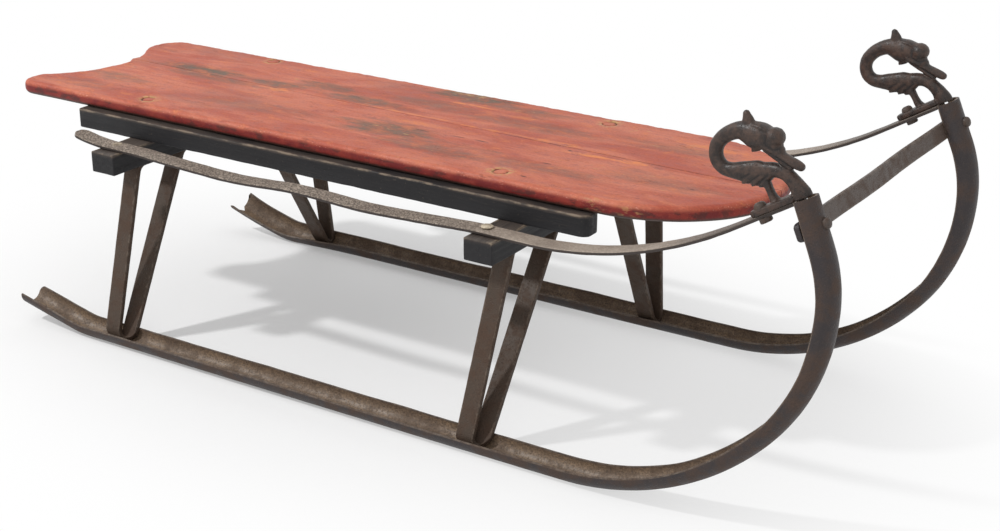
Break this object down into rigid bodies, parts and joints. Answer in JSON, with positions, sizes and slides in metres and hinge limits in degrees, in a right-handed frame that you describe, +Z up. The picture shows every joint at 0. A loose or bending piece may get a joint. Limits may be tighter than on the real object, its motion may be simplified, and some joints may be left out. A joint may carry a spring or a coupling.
{
  "type": "child sled",
  "caption": "Child's sled with a scooped red board deck on black rails and beams, V-shaped iron legs, gutter runners with a swept front, and cast beast-head finials.",
  "frame": {"origin": "on the floor, midway along the sled and between its runners", "axes": "+X forward, towards the runners' bends; +Y to the sled's left; +Z up"},
  "size_m": [0.93, 0.356, 0.3459],
  "materials": {
    "red_painted_wood": "worn brick-red paint",
    "black_wood": "black stain, worn at the arrises",
    "leg_iron": "dark rusted wrought bar",
    "runner_iron": "rusted wrought gutter",
    "strap_iron": "pitted grey-brown bar",
    "cast_iron": "dark cast iron"
  },
  "bodies": {
    "root": {"deck_board_right": "red_painted_wood", "deck_board_left": "red_painted_wood", "side_rail_right": "black_wood", "side_rail_left": "black_wood", "rear_cross_beam": "black_wood", "front_cross_beam": "black_wood", "rear_leg_right": "leg_iron", "rear_leg_left": "leg_iron", "front_leg_right": "leg_iron", "front_leg_left": "leg_iron", "runner_right": "runner_iron", "runner_left": "runner_iron", "side_strap_right": "strap_iron", "side_strap_left": "strap_iron", "front_cross_bar": "strap_iron", "finial_right": "cast_iron", "finial_left": "cast_iron"}
  },
  "joints": []
}
